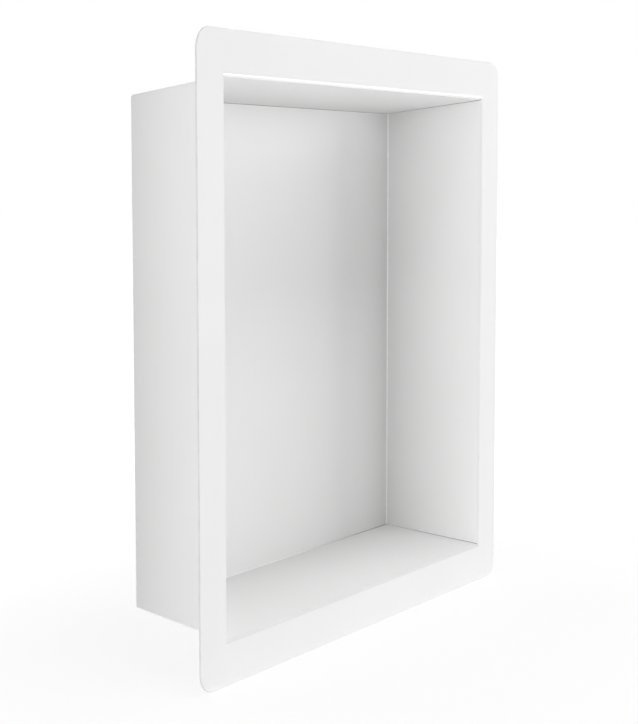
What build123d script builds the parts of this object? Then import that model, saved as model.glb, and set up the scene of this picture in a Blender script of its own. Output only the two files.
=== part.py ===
from build123d import *
import os
from math import cos, radians, tan

# Shower niche insert: one folded and welded shell of thin sheet steel, coated white. The left wall, the
# back and the right wall are one strip, folded at the back's two upright edges, and the top and the bottom
# are welded in. The recess drops through a square hole in a shower wall, and the flat flange laps over the
# wall all round the hole and is bonded to it.
# Millimetres. +X is right, +Y goes into the wall and +Z is up. The origin is the middle of the hole, in the
# plane of the wall's face, where the back of the flange seats.

# Driving dimensions
opening = 304.8  # clear width and height of the recess at the flange's front face
flange_width = 25.4  # how far the flange laps outside the opening
flange_corner_radius = 12.0
recess_depth = 68.0  # from the flange's front face to the inside of the back
lean_angle = 7.0  # degrees that each wall leans in towards the back, so that the recess slips into its hole
sheet = 1.0  # thickness of the coated sheet, the same in the flange, the walls and the back
lip_radius = 2.0  # front of the fold between the flange and each wall
back_fold_radius = 0.8  # inside of the two upright folds between the back and its side walls
rim_radius = 0.3  # eased front edge of the flange

# Derived dimensions
flange_size = opening + 2 * flange_width
lean = tan(radians(lean_angle))
sheet_across = sheet / cos(radians(lean_angle))  # a wall's thickness, measured square to the depth
front_y = -sheet
back_inside_y = front_y + recess_depth
back_outside_y = back_inside_y + sheet
mouth_half = opening / 2
back_half = mouth_half - recess_depth * lean
outside_size = opening - 2 * sheet * lean + 2 * sheet_across  # the recess's outside, in the wall's plane
lip_inside_radius = lip_radius - sheet  # behind the lip, so that the sheet keeps its thickness in the fold
outside_edge_radius = back_fold_radius + sheet  # outside of the back's folds, and of the ground welds

# The block that shapes the front is larger than the flange and stands in front of it by a margin.
block_margin = flange_width
block_half = flange_size / 2 + block_margin
block_front_y = front_y - block_margin
blank_front_y = front_y - block_margin / 2  # front of the flange before the block faces it

# Planes: the wall's face, looking in; the section through one side; and the two mitres of that side.
into_wall = Plane(origin=(0, 0, 0), x_dir=(1, 0, 0), z_dir=(0, 1, 0))
section_plane = Plane(origin=(block_half, 0, 0), x_dir=(0, 0, 1), z_dir=(-1, 0, 0))
right_mitre = Plane(origin=(0, 0, 0), z_dir=(-1, 0, 1))
left_mitre = Plane(origin=(0, 0, 0), z_dir=(1, 0, 1))

# One side of the forming block, which the sheet is folded over: a flat face over the flange, the rounded
# lip, the leaning wall and the back, cut at both ends on the mitre.
with BuildPart() as block_side:
    with BuildSketch(section_plane) as section:
        with BuildLine():
            Polyline(
                (0, block_front_y),
                (block_half, block_front_y),
                (block_half, front_y),
                (mouth_half, front_y),
                (back_half, back_inside_y),
                (0, back_inside_y),
                close=True,
            )
        make_face()
        lip_corner = section.vertices().group_by(Axis.Y)[1].sort_by(Axis.X)[0]
        fillet(lip_corner, lip_radius)
    extrude(amount=2 * block_half)
    split(bisect_by=right_mitre, keep=Keep.TOP)
    split(bisect_by=left_mitre, keep=Keep.TOP)

# The whole block: four like sides, so that the lip and the walls meet in crisp mitres at the corners. The
# back's two upright folds are rounded, and its welded top and bottom seams stay sharp.
with BuildPart() as forming_block:
    for quarter_turn in range(4):
        add(block_side.part, rotation=(0, 90 * quarter_turn, 0))
    back_edges = forming_block.edges().group_by(Axis.Y)[-1]
    fillet(back_edges.filter_by(Axis.Z), back_fold_radius)

# The shell: the outside of the recess and of the flange, faced and hollowed by the forming block.
with BuildPart() as niche_shell:
    with BuildSketch(into_wall):
        Rectangle(outside_size, outside_size)
    extrude(amount=back_outside_y)
    recess_sides = niche_shell.faces().filter_by(Axis.Y, reverse=True)
    draft(recess_sides, into_wall, lean_angle)
    mouth_edges = niche_shell.edges().group_by(Axis.Y)[0]
    fillet(niche_shell.edges() - mouth_edges, outside_edge_radius)

    with BuildSketch(into_wall.offset(blank_front_y)):
        RectangleRounded(flange_size, flange_size, flange_corner_radius)
    extrude(amount=-blank_front_y)
    flange_back = niche_shell.faces().filter_by_position(Axis.Y, -sheet / 2, sheet / 2)[0]
    fillet(flange_back.inner_wires()[0].edges(), lip_inside_radius)

    add(forming_block.part, mode=Mode.SUBTRACT)
    flange_front = niche_shell.faces().sort_by(Axis.Y)[0]
    fillet(flange_front.outer_wire().edges(), rim_radius)

niche_shell.part.label = "niche_shell"
os.makedirs("parts", exist_ok=True)
export_step(niche_shell.part, "parts/niche_shell.step")
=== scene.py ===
import bmesh
import bpy
import math
from mathutils import Matrix, Vector


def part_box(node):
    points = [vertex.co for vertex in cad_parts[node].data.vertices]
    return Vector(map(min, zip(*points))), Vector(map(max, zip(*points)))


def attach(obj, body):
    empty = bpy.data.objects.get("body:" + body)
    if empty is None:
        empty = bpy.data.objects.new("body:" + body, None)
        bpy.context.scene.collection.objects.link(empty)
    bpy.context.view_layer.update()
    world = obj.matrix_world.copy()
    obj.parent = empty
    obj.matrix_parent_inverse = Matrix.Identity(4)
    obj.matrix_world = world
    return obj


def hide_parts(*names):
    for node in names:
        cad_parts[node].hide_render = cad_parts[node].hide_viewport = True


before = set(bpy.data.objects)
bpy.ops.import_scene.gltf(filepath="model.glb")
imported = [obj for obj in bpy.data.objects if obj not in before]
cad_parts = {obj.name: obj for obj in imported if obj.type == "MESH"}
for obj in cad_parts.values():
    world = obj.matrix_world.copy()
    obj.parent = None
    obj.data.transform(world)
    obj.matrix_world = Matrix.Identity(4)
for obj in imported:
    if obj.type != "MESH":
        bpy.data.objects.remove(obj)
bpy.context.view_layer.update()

# Niche shell
# The whole insert is one skin of thin sheet steel: a strip folded up for the left wall, the back and the
# right wall, with the top and the bottom welded in, and each mouth edge folded outwards into the flange.
# The welds are ground flush and the shell is powder coated white, so only hair lines show along the seams.
shell_low, shell_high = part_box("niche_shell")
front_y = shell_low.y
flange_back_y = 0.0  # the flange's back lies against the wall of the room, in the plane of the origin
outside_back_y = shell_high.y
sheet = flange_back_y - front_y
inside_back_y = outside_back_y - sheet
recess_depth = inside_back_y - front_y
flange_half = shell_high.x
flange_width = 0.0254
flange_corner_radius = 0.012
mouth_half = flange_half - flange_width
lip_radius = 0.002
back_fold_radius = 0.0008
rim_radius = 0.0003
right_angle = math.radians(90.0)
lean_angle = math.radians(7.0)
lean = math.tan(lean_angle)  # how far a wall comes in for each metre of depth
outside_mouth_half = mouth_half - sheet * lean + sheet / math.cos(lean_angle)
fold_turn = right_angle - lean_angle  # how far the sheet turns at the lip and at the back
flange_corner_steps = 16
lip_steps = 8
fold_steps = 6
rim_steps = 3
seam_width = 0.0006
seam_depth = 0.00012
seam_steps = 2
seam_overrun = 0.0004  # how far out over the lip the seams run
back_seams_y = inside_back_y - 2 * back_fold_radius  # of the seams, only the back's own lie further in
towards_room = (0.0, -1.0, 0.0)
nearly_level = 0.95  # how far up or down, out of 1, the direction of a level face points at least
nearly_upright = 0.2  # how far up or down that of an upright face points at most
sharp_turn = math.radians(35.0)  # edges that turn further than this are shaded as sharp
touching = 1e-6
coat_order = (
    "white_coat",
    "bottom_seam",
    "top_seam",
    "corner_seam",
    "fold_bead_highlight",
    "lip_and_edge_highlight",
    "bottom_lip_shade",
    "cut_edge_shade",
)


def lies_at(edge, y):
    """Whether an edge lies in the plane at a depth."""
    return all(abs(vert.co.y - y) < touching for vert in edge.verts)


def on_mitre(edge):
    """Whether an edge lies straight out from the middle towards a corner."""
    return all(abs(abs(vert.co.x) - abs(vert.co.z)) < touching for vert in edge.verts)


def recess_half(y):
    """Half the width, and half the height, inside the recess at a depth."""
    return mouth_half - (y - front_y) * lean


def square_face(mesh, half, y):
    """A square that faces the room at a depth."""
    facing_room = Matrix.Translation((0.0, y, 0.0)) @ Matrix.Rotation(right_angle, 4, "X")
    made = bmesh.ops.create_grid(mesh, x_segments=1, y_segments=1, size=half, matrix=facing_room)
    return made["verts"][0].link_faces[0]


def round_off(mesh, geom, offset, steps, affect="EDGES"):
    """Rounds edges or corners, starting at a distance to either side of them."""
    return bmesh.ops.bevel(
        mesh,
        geom=geom,
        offset=offset,
        offset_type="OFFSET",
        segments=steps,
        profile=0.5,
        affect=affect,
        material=-1,
    )


def round_fold(mesh, edges, radius, steps):
    """Rounds edges at which the sheet turns, to a bend of a radius."""
    round_off(mesh, edges, radius * math.tan(fold_turn / 2), steps)


def folded_skin(mesh, half_mouth, mouth_y, depth, mouth_radius, edge_radius, only_uprights):
    """One side of the sheet: back and walls, rounded edges, the flange's plane and the lip between them."""
    back = square_face(mesh, half_mouth, mouth_y)
    bmesh.ops.inset_region(
        mesh, faces=[back], thickness=depth * lean, use_boundary=True, use_even_offset=True
    )
    bmesh.ops.translate(mesh, vec=(0.0, depth, 0.0), verts=back.verts)
    rounded = {edge for vert in back.verts for edge in vert.link_edges}
    if only_uprights:
        rounded = {edge for edge in back.edges if abs(edge.verts[0].co.x - edge.verts[1].co.x) < touching}
    round_fold(mesh, list(rounded), edge_radius, fold_steps)
    mouth_edges = [edge for edge in mesh.edges if edge.is_boundary and lies_at(edge, mouth_y)]

    plate = square_face(mesh, flange_half, mouth_y)
    corners = round_off(mesh, list(plate.verts), flange_corner_radius, flange_corner_steps, "VERTICES")
    plate = corners["verts"][0].link_faces[0]
    rim = list(plate.edges)
    bmesh.ops.delete(mesh, geom=[plate], context="FACES_ONLY")
    bmesh.ops.triangle_fill(mesh, use_beauty=True, edges=rim + mouth_edges, normal=towards_room)
    round_fold(mesh, mouth_edges, mouth_radius, lip_steps)
    return rim


def lies_in_seam(face):
    """Whether a face lies in the gap at a corner of the walls, or at the back's top or bottom."""
    middle = face.calc_center_median()
    if middle.y < front_y + touching:
        return False
    at_corner = abs(abs(middle.x) - abs(middle.z)) < seam_width
    at_back = middle.y > back_seams_y
    return at_corner or (at_back and abs(middle.z) > recess_half(middle.y) - seam_width)


def seam_of(face):
    """Which welded seam a face of the gap belongs to: one between walls, or the back's top or bottom."""
    middle = face.calc_center_median()
    if middle.y < back_seams_y:
        return "corner_seam"
    return "top_seam" if middle.z > 0.0 else "bottom_seam"


def cut_seams(mesh):
    """Hair-line gaps where the top and the bottom meet the folded strip, with pointed ends on the lip."""
    chain = {
        edge for edge in mesh.edges
        if on_mitre(edge) and max(abs(vert.co.x) for vert in edge.verts) < mouth_half + seam_overrun
    }
    for up in (1.0, -1.0):
        level_faces = [face for face in mesh.faces if face.normal.z * up < -nearly_level]
        panel = max(level_faces, key=lambda face: face.calc_area())
        mouth_side = min(panel.edges, key=lambda edge: edge.verts[0].co.y + edge.verts[1].co.y)
        chain.update(edge for edge in panel.edges if edge is not mouth_side)
    gap = round_off(mesh, list(chain), seam_width / 2, seam_steps)
    gap_faces = {face for face in gap["faces"] if lies_in_seam(face)}
    for face in gap_faces:
        face.material_index = coat_order.index(seam_of(face))
    mesh.normal_update()
    bottom = [vert for vert in gap["verts"] if all(face in gap_faces for face in vert.link_faces)]
    for vert in bottom:
        vert.co -= vert.normal * seam_depth


def lies_in_fold(face):
    """Whether a face belongs to one of the two upright folds at the back of the recess."""
    middle = face.calc_center_median()
    from_back = inside_back_y - middle.y
    from_wall = recess_half(middle.y) - abs(middle.x)
    return touching < from_back < back_fold_radius and touching < from_wall < back_fold_radius


def lies_on_lip(face, up):
    """Whether a face lies on the lip over the mouth, or on the one under it where up is -1."""
    middle = face.calc_center_median()
    in_lip = touching < middle.y - front_y < lip_radius
    return in_lip and middle.z * up > max(abs(middle.x), mouth_half - lip_radius)


def lies_on_bottom_edge(face):
    """Whether a face belongs to the rounded edges of the recess's bottom, outside and behind the flange."""
    behind_flange = face.calc_center_median().y > flange_back_y + lip_radius
    return behind_flange and nearly_upright < -face.normal.z < nearly_level


shell_mesh = bmesh.new()
front_rim = folded_skin(
    shell_mesh,
    half_mouth=mouth_half,
    mouth_y=front_y,
    depth=recess_depth,
    mouth_radius=lip_radius,
    edge_radius=back_fold_radius,
    only_uprights=True,
)
shell_mesh.normal_update()
cut_seams(shell_mesh)
# The upright folds and the top lip get coats painted lighter as painted highlight, the bottom lip one
# painted greyer as painted shade.
plain_faces = [face for face in shell_mesh.faces if face.material_index == coat_order.index("white_coat")]
for face in plain_faces:
    if lies_in_fold(face):
        face.material_index = coat_order.index("fold_bead_highlight")
    elif lies_on_lip(face, up=1.0):
        face.material_index = coat_order.index("lip_and_edge_highlight")
    elif lies_on_lip(face, up=-1.0):
        face.material_index = coat_order.index("bottom_lip_shade")
back_rim = folded_skin(
    shell_mesh,
    half_mouth=outside_mouth_half,
    mouth_y=flange_back_y,
    depth=outside_back_y - flange_back_y,
    mouth_radius=lip_radius - sheet,
    edge_radius=back_fold_radius + sheet,
    only_uprights=False,
)
# The flange's cut edge gets a coat painted darker as painted shade.
cut_edge = bmesh.ops.bridge_loops(shell_mesh, edges=front_rim + back_rim)
for face in cut_edge["faces"]:
    face.material_index = coat_order.index("cut_edge_shade")
round_off(shell_mesh, front_rim, rim_radius, rim_steps)
bmesh.ops.recalc_face_normals(shell_mesh, faces=shell_mesh.faces)
# The rounded bottom edges outside get the coat painted lighter as painted highlight.
for face in shell_mesh.faces:
    face.smooth = True
    if face.material_index == coat_order.index("white_coat") and lies_on_bottom_edge(face):
        face.material_index = coat_order.index("lip_and_edge_highlight")
shell_data = bpy.data.meshes.new("coated_shell")
shell_mesh.to_mesh(shell_data)
shell_mesh.free()
shell_data.set_sharp_from_angle(angle=sharp_turn)
coated_shell = bpy.data.objects.new("coated_shell", shell_data)
bpy.context.scene.collection.objects.link(coated_shell)
even_shading = coated_shell.modifiers.new("even_shading", "WEIGHTED_NORMAL")
even_shading.keep_sharp = True

coats = {}  # the finished coats by their names


def bare_coat(name):
    """Adds a coat for a part of the shell, and gives its node tree and its shader."""
    coat = bpy.data.materials.new(name)
    coat.use_nodes = True
    coats[name] = coat
    return coat.node_tree, coat.node_tree.nodes["Principled BSDF"]


def place_on(tree):
    """Where a point of the piece lies, in metres from the origin."""
    return tree.nodes.new("ShaderNodeTexCoord").outputs["Object"]


def axes_of(tree, place):
    """A place's X, Y and Z, each by itself."""
    parts = tree.nodes.new("ShaderNodeSeparateXYZ")
    tree.links.new(place, parts.inputs["Vector"])
    return parts.outputs


def reckon(tree, operation, *terms, clamp=False):
    """One step of arithmetic on plain numbers and on values from other nodes."""
    step = tree.nodes.new("ShaderNodeMath")
    step.operation = operation
    step.use_clamp = clamp
    for socket, term in zip(step.inputs, terms):
        if isinstance(term, bpy.types.NodeSocket):
            tree.links.new(term, socket)
        else:
            socket.default_value = term
    return step.outputs["Value"]


def graded(tree, value, span, results, curve="LINEAR"):
    """A number that goes from the first result to the second while a value crosses a span."""
    step = tree.nodes.new("ShaderNodeMapRange")
    step.interpolation_type = curve
    for end, number in zip(("From Min", "From Max", "To Min", "To Max"), span + results):
        step.inputs[end].default_value = number
    tree.links.new(value, step.inputs["Value"])
    return step.outputs["Result"]


def patchy(tree, place, scale, detail):
    """A soft random pattern over the piece, between 0 and 1."""
    pattern = tree.nodes.new("ShaderNodeTexNoise")
    pattern.inputs["Scale"].default_value = scale
    pattern.inputs["Detail"].default_value = detail
    tree.links.new(place, pattern.inputs["Vector"])
    return pattern.outputs["Fac"]


def toned(tree, value, span, tones):
    """A colour that goes from the first tone to the second while a value crosses a span."""
    ramp = tree.nodes.new("ShaderNodeValToRGB")
    for element, position, tone in zip(ramp.color_ramp.elements, span, tones):
        element.position = position
        element.color = tone
    tree.links.new(value, ramp.inputs["Fac"])
    return ramp.outputs["Color"]


# The coat is painted greyer on the walls towards the back, and on the back towards its upright folds, as
# painted shade in the recess's corners. Along the welded seams this painted shade lies only right beside
# the seam, and the outside of the back is all white.
full_white = (0.895, 0.895, 0.894, 1.0)
shade_grey = (0.65, 0.65, 0.648, 1.0)
shade_reach = recess_depth  # how far from the back's folds the painted shade fades out to the coat's full white
seam_steepness = 300.0  # how many times sooner it does so beside the welded seams
deepest_shade = 0.94  # how deep the painted shade gets at the folds, where 1 would be all grey
shade_power = 1.6  # the higher it is, the closer to the folds the painted shade stays
drift_share = 0.2  # how much the coat's thickness drifts from patch to patch
soft_sheen = 0.25  # half of what a smooth coat reflects
back_half = recess_half(inside_back_y)
coat_tree, coat_shader = bare_coat("white_coat")
coat_shader.inputs["Specular IOR Level"].default_value = soft_sheen
coat_place = place_on(coat_tree)
coat_axes = axes_of(coat_tree, coat_place)

# How far a point lies from the back's folds: across the back, and from the back out along the walls.
off_middle_x = reckon(coat_tree, "ABSOLUTE", coat_axes["X"])
off_middle_z = reckon(coat_tree, "ABSOLUTE", coat_axes["Z"])
from_fold = reckon(coat_tree, "SUBTRACT", back_half, off_middle_x)
from_seam = reckon(coat_tree, "SUBTRACT", back_half, off_middle_z)
steep_from_seam = reckon(coat_tree, "MULTIPLY", from_seam, seam_steepness)
from_wall = reckon(coat_tree, "MINIMUM", from_fold, steep_from_seam, clamp=True)
from_back = reckon(coat_tree, "SUBTRACT", inside_back_y, coat_axes["Y"], clamp=True)
behind_back = graded(coat_tree, coat_axes["Y"], (inside_back_y, outside_back_y), (0.0, shade_reach))
from_either_side = reckon(coat_tree, "ADD", from_back, behind_back)
from_corner = reckon(coat_tree, "ADD", from_wall, from_either_side)

# Painted shade: the coat turns greyer nearer the back's corners, with a random drift in tone on top.
nearness = graded(coat_tree, from_corner, (0.0, shade_reach), (deepest_shade, 0.0))
painted_shade = reckon(coat_tree, "POWER", nearness, shade_power)
thickness_drift = patchy(coat_tree, coat_place, scale=7.0, detail=2.0)
shade_and_drift = reckon(coat_tree, "MULTIPLY_ADD", thickness_drift, drift_share, painted_shade)
coat_tone = toned(coat_tree, shade_and_drift, (0.0, 1.0), (full_white, shade_grey))
coat_tree.links.new(coat_tone, coat_shader.inputs["Base Color"])

# The powder's fine grain breaks up the gloss and leaves the surface a little rough.
grain_roughness = (0.62, 0.72)
grain_strength = 0.12
grain_height = 0.0002
powder_grain = patchy(coat_tree, coat_place, scale=1300.0, detail=1.0)
coat_roughness = graded(coat_tree, powder_grain, (0.0, 1.0), grain_roughness)
coat_tree.links.new(coat_roughness, coat_shader.inputs["Roughness"])
coat_bump = coat_tree.nodes.new("ShaderNodeBump")
coat_bump.inputs["Strength"].default_value = grain_strength
coat_bump.inputs["Distance"].default_value = grain_height
coat_tree.links.new(powder_grain, coat_bump.inputs["Height"])
coat_tree.links.new(coat_bump.outputs["Normal"], coat_shader.inputs["Normal"])

filled_white = (0.97, 0.97, 0.97, 1.0)
gap_and_shade_grey = (0.2, 0.2, 0.198, 1.0)
darkness_span = (0.0, 0.8)  # from a gap that the coat fills to one that is open and in painted shade
filling_share = 0.5  # how unevenly the coat fills a gap along its length


def seam_coat(name, darkness, to_right, to_back=0.0):
    """The coat in a seam's hair-line gap: white where it fills the gap, and dark where the gap is open.

    The darkness holds at the shell's middle and grows by to_right and to_back for each metre that way,
    as painted shade where the recess lies in shade.
    """
    tree, shader = bare_coat(name)
    shader.inputs["Roughness"].default_value = 0.7
    place = place_on(tree)
    axes = axes_of(tree, place)
    darkness_by_width = reckon(tree, "MULTIPLY_ADD", axes["X"], to_right, darkness)
    darkness_by_place = reckon(tree, "MULTIPLY_ADD", axes["Y"], to_back, darkness_by_width)
    filling = patchy(tree, place, scale=45.0, detail=2.0)
    uneven_darkness = reckon(tree, "MULTIPLY_ADD", filling, filling_share, darkness_by_place)
    tone = toned(tree, uneven_darkness, darkness_span, (filled_white, gap_and_shade_grey))
    tree.links.new(tone, shader.inputs["Base Color"])


# The dark hair lines are open gaps, made darker as painted shade where the recess lies in shade: the seam
# under the back is darker towards the right, and the one over it is dark, a little more towards the left.
# Of the seams between two walls, the ones at the right are dark, most of all towards the room.
seam_coat("bottom_seam", darkness=-0.403, to_right=6.5)
seam_coat("top_seam", darkness=0.346, to_right=-0.8)
seam_coat("corner_seam", darkness=0.0, to_right=3.4, to_back=-5.4)

drift_span = (0.3, 0.7)  # most of a random pattern lies between these


def grey(tone):
    """A plain grey, or white where the tone is 1."""
    return (tone, tone, tone, 1.0)


def drifting_coat(name, patch_scale, dark_tone, light_tone, roughness):
    """A stretch of the coat painted lighter or darker than the rest, unevenly along its length."""
    tree, shader = bare_coat(name)
    shader.inputs["Roughness"].default_value = roughness
    drift = patchy(tree, place_on(tree), patch_scale, detail=1.0)
    tone = toned(tree, drift, drift_span, (grey(dark_tone), grey(light_tone)))
    tree.links.new(tone, shader.inputs["Base Color"])


# Three stretches of the coat differ from the rest: the smooth, glossy bead in each upright fold, left
# lighter than the shade beside it as a painted highlight; the glossy run on the top lip and on the outside
# bottom edges, painted lighter than the coat as a painted highlight; and the cut edge, painted darker as
# painted shade.
drifting_coat("fold_bead_highlight", patch_scale=300.0, dark_tone=0.78, light_tone=0.84, roughness=0.3)
drifting_coat("lip_and_edge_highlight", patch_scale=60.0, dark_tone=0.93, light_tone=0.96, roughness=0.25)
drifting_coat("cut_edge_shade", patch_scale=120.0, dark_tone=0.65, light_tone=0.72, roughness=0.6)

# On the bottom lip the coat is painted greyer towards the front edge, as painted shade.
lip_shade_grey = (0.76, 0.76, 0.76, 1.0)
lip_white = (0.87, 0.87, 0.869, 1.0)
lip_shade_span = (0.0, 0.8)  # where along the lip's depth the painted shade goes from grey to white
lip_tree, lip_shader = bare_coat("bottom_lip_shade")
lip_shader.inputs["Roughness"].default_value = 0.65
lip_shader.inputs["Specular IOR Level"].default_value = soft_sheen
lip_axes = axes_of(lip_tree, place_on(lip_tree))
lip_depth = graded(lip_tree, lip_axes["Y"], (front_y, front_y + lip_radius), (0.0, 1.0))
lip_shade_tone = toned(lip_tree, lip_depth, lip_shade_span, (lip_shade_grey, lip_white))
lip_tree.links.new(lip_shade_tone, lip_shader.inputs["Base Color"])

for name in coat_order:
    shell_data.materials.append(coats[name])
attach(coated_shell, "root")
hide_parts("niche_shell")

# Floor
# A plain pale studio floor under the shell's lowest edge, which also glows a little and so lights the shell
# from below. In the picture it keeps the shell's soft shadow close by, and further off it is all white.
floor_reach = 12.0
floor_tone = 0.9
glow_strength = 0.23
white_strength = 1.0  # the strength at which a background is white in the picture
shadow_share = 0.14  # how much of the floor's white in the picture is light that the shell can shade
shadow_reach = 0.7  # how far from the shell's middle the rest comes up to the strength of white
floor_mesh = bmesh.new()
under_shell = Matrix.Translation((0.0, 0.0, shell_low.z))
bmesh.ops.create_grid(floor_mesh, x_segments=1, y_segments=1, size=floor_reach, matrix=under_shell)
floor_data = bpy.data.meshes.new("floor")
floor_mesh.to_mesh(floor_data)
floor_mesh.free()
floor = bpy.data.objects.new("floor", floor_data)
bpy.context.scene.collection.objects.link(floor)


def added(tree, first, second):
    """Two shaders added up."""
    both = tree.nodes.new("ShaderNodeAddShader")
    tree.links.new(first.outputs[0], both.inputs[0])
    tree.links.new(second.outputs[0], both.inputs[1])
    return both


def light_or_background(tree, light, background, output):
    """Shows a background to the camera, to gloss and to clear things, and a light to all else."""
    rays = tree.nodes.new("ShaderNodeLightPath").outputs
    camera_or_gloss = reckon(tree, "MAXIMUM", rays["Is Camera Ray"], rays["Is Glossy Ray"])
    sees_background = reckon(tree, "MAXIMUM", camera_or_gloss, rays["Is Transmission Ray"])
    mix = tree.nodes.new("ShaderNodeMixShader")
    tree.links.new(sees_background, mix.inputs["Fac"])
    tree.links.new(light.outputs[0], mix.inputs[1])
    tree.links.new(background.outputs[0], mix.inputs[2])
    tree.links.new(mix.outputs["Shader"], tree.nodes[output].inputs["Surface"])


pale_floor = bpy.data.materials.new("pale_floor")
pale_floor.use_nodes = True
floor_tree = pale_floor.node_tree
floor_tree.nodes.remove(floor_tree.nodes["Principled BSDF"])
floor_paint = floor_tree.nodes.new("ShaderNodeBsdfDiffuse")
floor_paint.inputs["Color"].default_value = grey(floor_tone)
floor_glow = floor_tree.nodes.new("ShaderNodeEmission")
floor_glow.inputs["Strength"].default_value = glow_strength
floor_light = added(floor_tree, floor_paint, floor_glow)
floor_shadow = floor_tree.nodes.new("ShaderNodeBsdfDiffuse")
floor_shadow.inputs["Color"].default_value = grey(shadow_share)
floor_distance = floor_tree.nodes.new("ShaderNodeVectorMath")
floor_distance.operation = "LENGTH"
floor_tree.links.new(place_on(floor_tree), floor_distance.inputs[0])
floor_fade = graded(
    floor_tree,
    floor_distance.outputs["Value"],
    span=(abs(shell_low.z), shadow_reach),
    results=(white_strength - shadow_share, white_strength),
    curve="SMOOTHSTEP",
)
floor_white = floor_tree.nodes.new("ShaderNodeEmission")
floor_tree.links.new(floor_fade, floor_white.inputs["Strength"])
floor_look = added(floor_tree, floor_shadow, floor_white)
light_or_background(floor_tree, floor_light, floor_look, output="Material Output")
floor_data.materials.append(pale_floor)

# Studio light
# Soft panels stand round the shell and hang over it, each turned to its middle, under a faint even sky.
# The camera doesn't see the panels, and to it the sky is the plain white of the background.
panel_width = 4.5
panel_height = 2.4
sky_strength = 0.02


def soft_panel(name, place, power):
    """A panel of light that faces the shell's middle."""
    lamp = bpy.data.lights.new(name, "AREA")
    lamp.shape = "RECTANGLE"
    lamp.size = panel_width
    lamp.size_y = panel_height
    lamp.energy = power
    panel = bpy.data.objects.new(name, lamp)
    panel.location = place
    panel.rotation_euler = Vector(place).to_track_quat("Z", "Y").to_euler()
    panel.visible_camera = False
    bpy.context.scene.collection.objects.link(panel)


soft_panel("left_panel", place=(-7.9, -0.55, 1.11), power=260.0)
soft_panel("left_front_panel", place=(-5.6, -5.6, 1.11), power=88.0)
soft_panel("right_panel", place=(7.03, -3.65, 1.11), power=316.0)
soft_panel("right_top_panel", place=(5.66, 0.0, 5.66), power=98.0)
soft_panel("front_top_panel", place=(0.0, -2.74, 7.52), power=244.0)
soft_panel("back_top_panel", place=(0.0, 2.74, 7.52), power=80.0)
soft_panel("back_panel", place=(0.0, 7.9, 1.11), power=150.0)

sky = bpy.data.worlds.new("sky")
sky.use_nodes = True
bpy.context.scene.world = sky
sky_tree = sky.node_tree
sky_light = sky_tree.nodes["Background"]
sky_light.inputs["Color"].default_value = grey(1.0)
sky_light.inputs["Strength"].default_value = sky_strength
sky_white = sky_tree.nodes.new("ShaderNodeBackground")
sky_white.inputs["Color"].default_value = grey(1.0)
sky_white.inputs["Strength"].default_value = white_strength
light_or_background(sky_tree, sky_light, sky_white, output="World Output")
bpy.context.scene.view_settings.view_transform = "Standard"

# Camera
# It stands to the left of the shell and a little above its middle, at the photograph's viewing angle.
# The sensor's width counts along the picture's longer side, its height, and the lens follows from that.
picture_height = 724.0
focal_pixels = 1767.5
sensor_size = 36.0
look_down = math.radians(5.798)
turn_right = math.radians(58.373)
camera_data = bpy.data.cameras.new("camera")
camera_data.sensor_width = sensor_size
camera_data.lens = sensor_size * focal_pixels / picture_height
camera = bpy.data.objects.new("camera", camera_data)
camera.location = (-0.9315, -0.5394, 0.0967)
camera.rotation_euler = (right_angle - look_down, 0.0, -turn_right)
bpy.context.scene.collection.objects.link(camera)
bpy.context.scene.camera = camera
